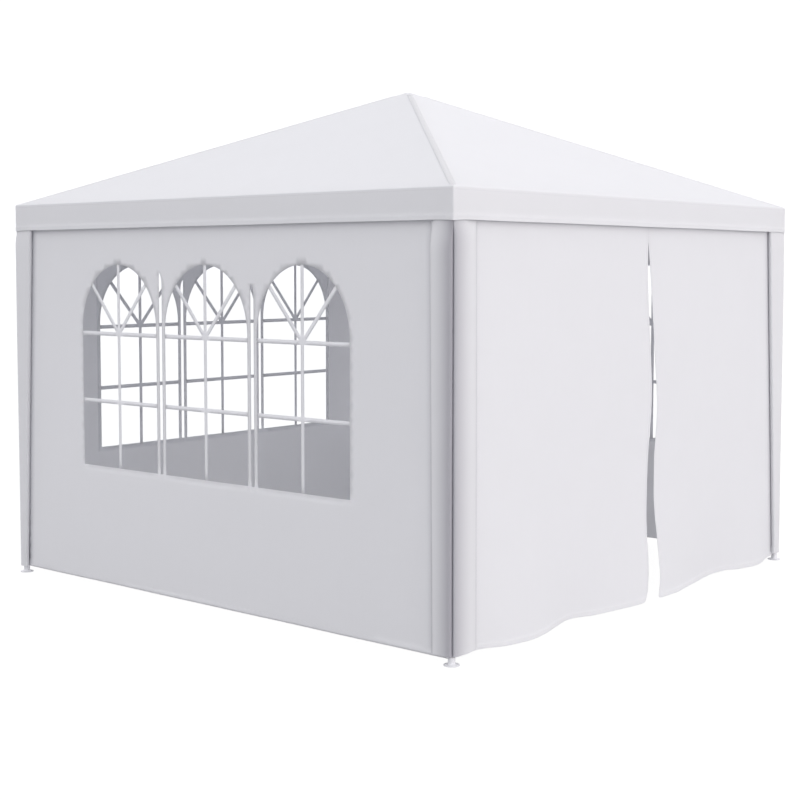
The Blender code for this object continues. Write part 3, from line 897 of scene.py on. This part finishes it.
def build_door_leaf(name, heap):
    post = -WALL_HALF_WIDTH if name == "left" else WALL_HALF_WIDTH
    stations = SLIT_LEFT if name == "left" else SLIT_RIGHT
    columns, rows = 92, 86

    def edge_at(z):
        if z >= SLIT_TOP_Z:
            return 0.0691 + (-0.0004 if name == "left" else 0.0004)
        return slit_edge(stations, z)

    def place(u, v, lift=0.0):
        """u: 0 at the post, 1 at the slit. v: 0 at the hem, 1 at the top."""
        height = v * WALL_TOP_Z
        edge = edge_at(height)
        x = post + (edge - post) * u
        hem = HEM_HIGH + (HEM_LOW - HEM_HIGH) * min(1.04, flowing(HEM, x) * (0.55 + 0.45 * hem_held(x)))
        from_edge = abs(edge_at(0.0) - (post + (edge_at(0.0) - post) * u))
        if name == "left":
            hem += 0.042 * math.exp(-((from_edge / 0.017) ** 2))
        else:
            hem += 0.006 * math.exp(-((from_edge / 0.010) ** 2))
        z = hem + (WALL_TOP_Z - hem) * v
        fold = HEM_STEP * (1 - ramp(HEM_FOLD, HEM_FOLD + 0.001, z - hem))
        side_fold = HEM_STEP * (1 - ramp(0.014, 0.015, abs(x - edge))) if z < SLIT_TOP_Z + 0.05 else 0.0
        out = WALL_PLANE + door_out(x, z) + max(fold, side_fold) + lift
        return (x, -out, z)

    us = list(np.linspace(0, 1, columns - 8) ** 0.96)
    width = abs(0.1 - post)
    us = sorted(set([round(float(u), 6) for u in us] + [round(1 - d / width, 6) for d in (0.002, 0.006, 0.0105, 0.0138, 0.0142, 0.0150, 0.0155, 0.022)]))
    vs = [0.0, 0.001, 0.0028, 0.0060, HEM_FOLD / WALL_TOP_Z, (HEM_FOLD + 0.0011) / WALL_TOP_Z]
    vs += list(np.linspace(0.0165, 1.0, rows - 6))
    points = np.array([[place(u, v) for u in us] for v in vs])
    uv = points[:, :, [0, 2]].copy()
    if name == "right":
        points, uv = points[:, ::-1], uv[:, ::-1]
    leaf = grid("door_cloth_" + name, points, uv, WALL_CLOTH)
    thicken(leaf)
    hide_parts("door_leaf_" + name)
    out = np.array((0, -1.0, 0))

    def row(path):
        sew(heap, path, np.tile(out, (len(path), 1)), pitch=0.0056)

    row([place(u, 0.0165 / WALL_TOP_Z) for u in np.linspace(0.01, 0.99, 160)])
    row([place(1 - 0.011 / width, v) for v in np.linspace(0.012, (SLIT_TOP_Z + 0.01) / WALL_TOP_Z, 120)])
    row([place(0.008, v) for v in np.linspace(0.012, 0.98, 80)])
    return leaf


door_heap = Heap()
DOORS = {name: build_door_leaf(name, door_heap) for name in ("left", "right")}
door_sewing = door_heap.make("door_stitching", THREAD, "wall_cloth")


# ---------------------------------------------------------------- corner flaps
FLAP_TOP_Z = 1.882
# (height, width) on the flap's left and front side, from the corner of the valance to its free edge
FAR_FLAP = ((0.06, 0.0480), (0.17, 0.0528), (0.66, 0.0730), (1.32, 0.1018), (1.8, 0.1230), (1.9, 0.127))
FLAP_WIDTHS = {
    "front_left": (((0.06, 0.118), (0.5, 0.1209), (1.0, 0.1255), (1.45, 0.1294), (1.8, 0.1326), (1.9, 0.1335)), ((0.06, 0.1820), (1.0, 0.1797), (1.8, 0.1770))),
    "front_right": (((0.10, 0.0620), (0.62, 0.0925), (1.32, 0.1360), (1.8, 0.1640), (1.9, 0.169)), FAR_FLAP),
    "back_left": (FAR_FLAP, FAR_FLAP),
    "back_right": (FAR_FLAP, FAR_FLAP),
}
FLAP_HEM = {"front_left": 0.041, "front_right": 0.040, "back_left": 0.033, "back_right": 0.036}
FLAP_PROUD = {"front_left": (0.0345, 0.0335), "front_right": (0.0240, 0.0240), "back_left": (0.0260, 0.0265), "back_right": (0.0250, 0.0250)}
# painted shade that darkens the near rolls towards the corner, on their left and front side: strength at the corner and
# reach
FOLD_SHADE = ((0.55, 0.105), (0.42, 0.125))


def linear(stations, at):
    return float(np.interp(at, [s[0] for s in stations], [s[1] for s in stations]))


def flap_section(corner, z):
    """Plan of a flap at some height, from its free edge on the left side round the corner to the one on the front.

    Each side is a list of (distance from the valance's corner along the wall, distance out from the wall's plane).
    Returns the plan's points and the painted shade at each, darkest in the fold."""
    sides, shades = [], []
    near = corner == "front_left"
    for number, stations in enumerate(FLAP_WIDTHS[corner]):
        width = linear(stations, z)
        full = FLAP_PROUD[corner][number]
        # under the valance the flap lies flat enough to pass behind it
        if near and number == 1:
            proud = full + (0.0226 - full) * ramp(1.790, 1.850, z)
        elif near:
            proud = full + (0.0210 - full) * ramp(1.730, 1.842, z)
        else:
            proud = full + ((0.0225 if corner == "front_right" else 0.0215) - full) * ramp(1.790, 1.842, z)
        if near:
            foot, lip = (0.0095, 0.0150), proud - 0.0065
            if number == 0:
                curve = [(width - 0.006, 0.0022), (width - 0.0015, 0.0060), (width, lip * 0.43), (width - 0.0012, lip * 0.65), (width - 0.0045, lip * 0.84), (width - 0.010, lip)]
                curve += [(width - 0.018, lip + 0.0028), (width - 0.030, lip + 0.0050)]
            else:
                curve = [(width - 0.005, 0.0020), (width - 0.0012, 0.0040), (width, 0.0070), (width - 0.0020, 0.0098), (width - 0.0070, 0.0122), (width - 0.0150, 0.0150 + 0.10 * (lip - 0.015))]
                curve += [(width - 0.026, 0.0150 + 0.42 * (lip - 0.015)), (width - 0.042, 0.0150 + 0.80 * (lip - 0.015)), (width - 0.060, lip + 0.0015), (width - 0.078, lip + 0.0050)]
            start = curve[-1][0]
            curve += [(0.038 + (start - 0.038) * share, proud) for share in (0.80, 0.60, 0.40, 0.20, 0.0)]
            for along, share in ((0.030, 1.0), (0.022, 0.99), (0.016, 0.94), (0.0115, 0.83), (0.0085, 0.66), (0.0072, 0.46), (0.0080, 0.21)):
                out = foot[1] + (proud - foot[1]) * share
                curve.append((max(along, 0.0254 - out), out))
            curve.append(foot)
        else:
            edge = proud - 0.0065
            curve = [(width - 0.0050, 0.0028), (width - 0.0022, edge * 0.40), (width - 0.0006, edge * 0.75), (width, edge), (width - 0.0010, proud - 0.0028), (width - 0.0040, proud - 0.0006), (width - 0.0080, proud)]
            curve += [(0.012 + (width - 0.0080 - 0.012) * share, proud) for share in (0.85, 0.70, 0.55, 0.40, 0.25, 0.10)]
            inner = HALF - WALL_PLANE - proud  # from the valance's corner line to the flap's own face
            radius = 0.0045
            for turn in (0, 15, 30, 45):
                angle = math.radians(turn)
                curve.append((inner + radius - radius * math.sin(angle), proud - radius + radius * math.cos(angle)))
        sides.append(curve)
        strength, reach = FOLD_SHADE[number]
        shade = [strength * max(0.0, 1 - along / reach) ** 1.5 if near else 0.0 for along, _ in curve]
        if near:
            # painted shade darkens the face of the free edge, which lies in the gap beside the wall
            painted_edge_shade = (0.60 - 0.32 * z / 1.8, 0.28)[number]
            for place, share in enumerate((1.0, 1.0, 1.0, 1.0, 0.9, 0.5) if number == 0 else (1.0, 1.0, 1.0, 1.0, 0.5)):
                shade[place] = painted_edge_shade * share
        shades.append(shade)
    left = [(-(WALL_PLANE + out), -(HALF - along)) for along, out in sides[0]]
    front = [(-(HALF - along), -(WALL_PLANE + out)) for along, out in sides[1]]
    return left + front[::-1][1:], shades[0] + shades[1][::-1][1:]


def build_flap(corner, heap, seed):
    yaw = CORNERS[corner]
    hem = FLAP_HEM[corner]
    zs = [hem, hem + 0.001, hem + 0.004] + list(np.linspace(hem + 0.010, FLAP_TOP_Z, 74))
    points, uv, painted_fold_shades = [], [], []
    for z in zs:
        plan, shade = flap_section(corner, z)
        painted_fold_shades += shade
        length = 0.0
        line, flat = [], []
        for n, (x, y) in enumerate(plan):
            if n:
                length += math.dist(plan[n - 1], (x, y))
            loose = 0.0007 * soft_noise(n * 0.5, z * 1.7, seed) * (1 - ramp(1.75, 1.85, z))
            # the pointed ends of the hem stay a little higher than the corner
            lift = 0.0
            if corner != "front_left":
                lift = 0.004 * (1 - ramp(0.0, 0.03, z - hem)) * abs(2 * n / (len(plan) - 1) - 1)
            line.append((x + loose * (x < -1.49), y + loose * (y < -1.49), z + lift))
            flat.append((length, z))
        points.append(line)
        uv.append(flat)
    points, uv = np.array(points), np.array(uv)
    shape = points.shape
    points = turned(points.reshape(-1, 3), yaw).reshape(shape)
    flap = grid("corner_flap_cloth_" + corner, points, uv, WALL_CLOTH, smooth=75.0)
    # the fold attribute carries painted shade into the cloth's colour
    flap.data.attributes.new("fold", "FLOAT", "POINT").data.foreach_set("value", painted_fold_shades)
    thicken(flap, 0.0011)
    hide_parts("corner_flap_" + corner)
    normals = np.cross(np.gradient(points, axis=1), np.gradient(points, axis=0))
    normals /= np.linalg.norm(normals, axis=2)[:, :, None]
    for column in (5, shape[1] - 6):
        sew(heap, points[4:-2, column], normals[4:-2, column], pitch=0.0056)
    middle = points[len(zs) // 2]
    width = float(np.linalg.norm(np.diff(middle, axis=0), axis=1).sum())
    return flap, (width, FLAP_TOP_Z - hem)


flap_heap = Heap()
FLAPS = {corner: build_flap(corner, flap_heap, 60 + n) for n, corner in enumerate(CORNERS)}
flap_sewing = flap_heap.make("flap_stitching", THREAD, "wall_cloth")


# ---------------------------------------------------------------- ties that hold the walls to the eave rails
def build_ties():
    heap = Heap()
    for side, yaw in SIDES.items():
        for x in (-1.28, -0.86, -0.44, 0.0, 0.44, 0.86, 1.28):
            path = [(x, -1.4722, 1.918), (x, -1.4722, 1.934), (x, -1.4722, 1.950)]
            radius = TUBE_R + 0.0016
            for turn in np.linspace(math.radians(-66), math.radians(246), 26):
                path.append((x, -LEG_OFFSET + radius * math.cos(turn), EAVE_TUBE_Z + radius * math.sin(turn)))
            path += [(x, -1.4731, 1.9525), (x, -1.4731, 1.944), (x, -1.4731, 1.918)]
            strap(heap, turned(path, yaw), turned([(1, 0, 0)], yaw)[0], 0.018, 0.0006)
    return heap.make("wall_ties", WALL_CLOTH, "wall_cloth")


ties = build_ties()


# ---------------------------------------------------------------- small metal parts and tube splices
def build_hardware():
    bolts, collars = Heap(), Heap()
    head = ((-0.0012, 0.0), (-0.0012, 0.0070), (0.0004, 0.0070), (0.0008, 0.0066), (0.0008, 0.0))
    hexagon = ((0.0, 0.0), (0.0, 0.0050), (0.0030, 0.0050), (0.0036, 0.0043), (0.0036, 0.0))
    dome = ((-0.0010, 0.0), (-0.0010, 0.0042), (0.0004, 0.0042), (0.0012, 0.0036), (0.0018, 0.0024), (0.0021, 0.0010), (0.0021, 0.0))

    def bolt(place, way):
        way = np.asarray(way, float) / np.linalg.norm(way)
        lathe(bolts, head, place, way, 20)
        lathe(bolts, hexagon, np.asarray(place) + way * 0.0008, way, 6)

    def collar(place, way, length=0.052):
        r, s = TUBE_R + 0.0003, TUBE_R + 0.0015
        profile = ((-length / 2, r), (-length / 2, s - 0.0004), (-length / 2 + 0.0008, s), (length / 2 - 0.0008, s), (length / 2, s - 0.0004), (length / 2, r))
        lathe(collars, profile, place, way, 40)

    fall = Vector((LEG_OFFSET, LEG_OFFSET, CROWN_Z - EAVE_TUBE_Z)).normalized()
    for corner, yaw in CORNERS.items():
        base = Vector((-LEG_OFFSET, -LEG_OFFSET, EAVE_TUBE_Z))
        arms = [Vector((0, 0, -1)), Vector((1, 0, 0)), Vector((0, 1, 0)), fall]
        inward = Vector((0.6, 0.6, -0.7))
        for arm in arms:
            out = (inward - arm * inward.dot(arm)).normalized()
            place = base + arm * 0.066 + out * SOCKET_R
            bolt(turned([place], yaw)[0], turned([out], yaw)[0])
        # each leg is two tubes, pushed together at mid height
        collar(turned([(-LEG_OFFSET, -LEG_OFFSET, 0.985)], yaw)[0], (0, 0, 1))
        rivet = Vector((1, 1, 0)).normalized()
        for z in (0.971, 0.999):
            place = Vector((-LEG_OFFSET, -LEG_OFFSET, z)) + rivet * (TUBE_R + 0.0015)
            lathe(bolts, dome, turned([place], yaw)[0], turned([rivet], yaw)[0], 16)
        # so is each hip rafter
        middle = Vector((-LEG_OFFSET / 2, -LEG_OFFSET / 2, (EAVE_TUBE_Z + CROWN_Z) / 2))
        collar(turned([middle], yaw)[0], turned([fall], yaw)[0])
        under = (Vector((0, 0, -1)) + fall * fall.z).normalized()
        for step in (-0.014, 0.014):
            place = middle + fall * step + under * (TUBE_R + 0.0015)
            lathe(bolts, dome, turned([place], yaw)[0], turned([under], yaw)[0], 16)
        # and a bolt through each socket of the crown joint
        out = under
        place = Vector((0, 0, CROWN_Z)) - fall * 0.066 + out * SOCKET_R
        bolt(turned([place], yaw)[0], turned([out], yaw)[0])
    for side, yaw in SIDES.items():
        place = turned([(0.19, -LEG_OFFSET, EAVE_TUBE_Z)], yaw)[0]
        collar(place, turned([(1, 0, 0)], yaw)[0])
        way = Vector((0, 0.7, -0.7)).normalized()
        for step in (-0.014, 0.014):
            spot = Vector((0.19 + step, -LEG_OFFSET, EAVE_TUBE_Z)) + way * (TUBE_R + 0.0015)
            lathe(bolts, dome, turned([spot], yaw)[0], turned([way], yaw)[0], 16)
    made = bolts.make("bolts_and_rivets", ZINC, "fitting", smooth=30.0)
    sleeves = collars.make("tube_splices", STEEL, "steel", smooth=30.0)
    return made, sleeves


bolts, splices = build_hardware()


# ---------------------------------------------------------------- finish of the frame's own parts
def smooth_turned_faces():
    """A modifier that joins a node's split faces and shades its round ones smooth."""
    tree = bpy.data.node_groups.new("smooth_round_faces", "GeometryNodeTree")
    tree.interface.new_socket("Geometry", in_out="INPUT", socket_type="NodeSocketGeometry")
    tree.interface.new_socket("Geometry", in_out="OUTPUT", socket_type="NodeSocketGeometry")
    start, end = tree.nodes.new("NodeGroupInput"), tree.nodes.new("NodeGroupOutput")
    drop = tree.nodes.new("GeometryNodeRemoveAttribute")
    drop.inputs["Name"].default_value = "custom_normal"
    weld = tree.nodes.new("GeometryNodeMergeByDistance")
    weld.inputs["Distance"].default_value = 0.00002
    faces = tree.nodes.new("GeometryNodeSetShadeSmooth")
    edges = tree.nodes.new("GeometryNodeSetShadeSmooth")
    edges.domain = "EDGE"
    angle = tree.nodes.new("GeometryNodeInputMeshEdgeAngle")
    limit = tree.nodes.new("FunctionNodeCompare")
    limit.operation = "LESS_EQUAL"
    limit.inputs[1].default_value = math.radians(34)
    tree.links.new(angle.outputs[0], limit.inputs[0])
    tree.links.new(limit.outputs[0], edges.inputs["Shade Smooth"])
    chain = (start.outputs[0], drop, weld, faces, edges)
    last = chain[0]
    for step in chain[1:]:
        tree.links.new(last, step.inputs[0])
        last = step.outputs[0]
    tree.links.new(last, end.inputs[0])
    return tree


ROUND = smooth_turned_faces()
for name, obj in frame["nodes"].items():
    if name.startswith(("leg_", "hip_rafter_", "eave_rail_")):
        finish, slot = STEEL, "steel"
    elif name.startswith("foot_"):
        finish, slot = PLASTIC, "foot_plastic"
    elif name.startswith(("corner_joint_", "crown_joint")):
        finish, slot = FITTING, "fitting"
    else:
        continue
    obj.data.materials.clear()
    obj.data.materials.append(finish)
    shade = obj.modifiers.new("round", "NODES")
    shade.node_group = ROUND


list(HIP_TAPES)


# ---------------------------------------------------------------- floor, light and view
floor_mesh = bpy.data.meshes.new("floor")
floor_mesh.from_pydata([(-90, -90, 0), (90, -90, 0), (90, 90, 0), (-90, 90, 0)], [], [(0, 1, 2, 3)])
floor = bpy.data.objects.new("floor", floor_mesh)
bpy.context.scene.collection.objects.link(floor)
made, tree, shader, output = material("studio_floor")
tree.nodes.remove(shader)
seen = node(tree, "ShaderNodeLightPath").outputs["Is Camera Ray"]
pale = node(tree, "ShaderNodeBsdfDiffuse", {"Color": (0.30, 0.30, 0.31, 1.0)})
paler = node(tree, "ShaderNodeBsdfDiffuse", {"Color": (0.09, 0.09, 0.09, 1.0)})
dim = node(tree, "ShaderNodeEmission", {"Color": (1.0, 1.0, 1.0, 1.0), "Strength": 0.185})
bright = node(tree, "ShaderNodeEmission", {"Color": (1.0, 1.0, 1.0, 1.0), "Strength": 0.96})
lit = node(tree, "ShaderNodeAddShader", {0: pale.outputs[0], 1: dim.outputs[0]})
shown = node(tree, "ShaderNodeAddShader", {0: paler.outputs[0], 1: bright.outputs[0]})
both = node(tree, "ShaderNodeMixShader", {0: seen, 1: lit.outputs[0], 2: shown.outputs[0]})
tree.links.new(both.outputs[0], output.inputs["Surface"])
floor_mesh.materials.append(made)

world = bpy.data.worlds.new("studio")
world.use_nodes = True
backdrop = world.node_tree.nodes["Background"]
backdrop.inputs["Color"].default_value = (1.0, 1.0, 1.02, 1.0)
backdrop.inputs["Strength"].default_value = 1.10
bpy.context.scene.world = world

key_data = bpy.data.lights.new("key", "SUN")
key_data.energy = 1.10
key_data.angle = math.radians(16)
key_data.color = (1.0, 0.94, 0.92)
key = bpy.data.objects.new("key", key_data)
key.rotation_euler = Vector((0.02, -0.29, 0.016)).to_track_quat("Z", "Y").to_euler()
bpy.context.scene.collection.objects.link(key)

bpy.context.scene.view_settings.view_transform = "Standard"
bpy.context.scene.view_settings.look = "None"
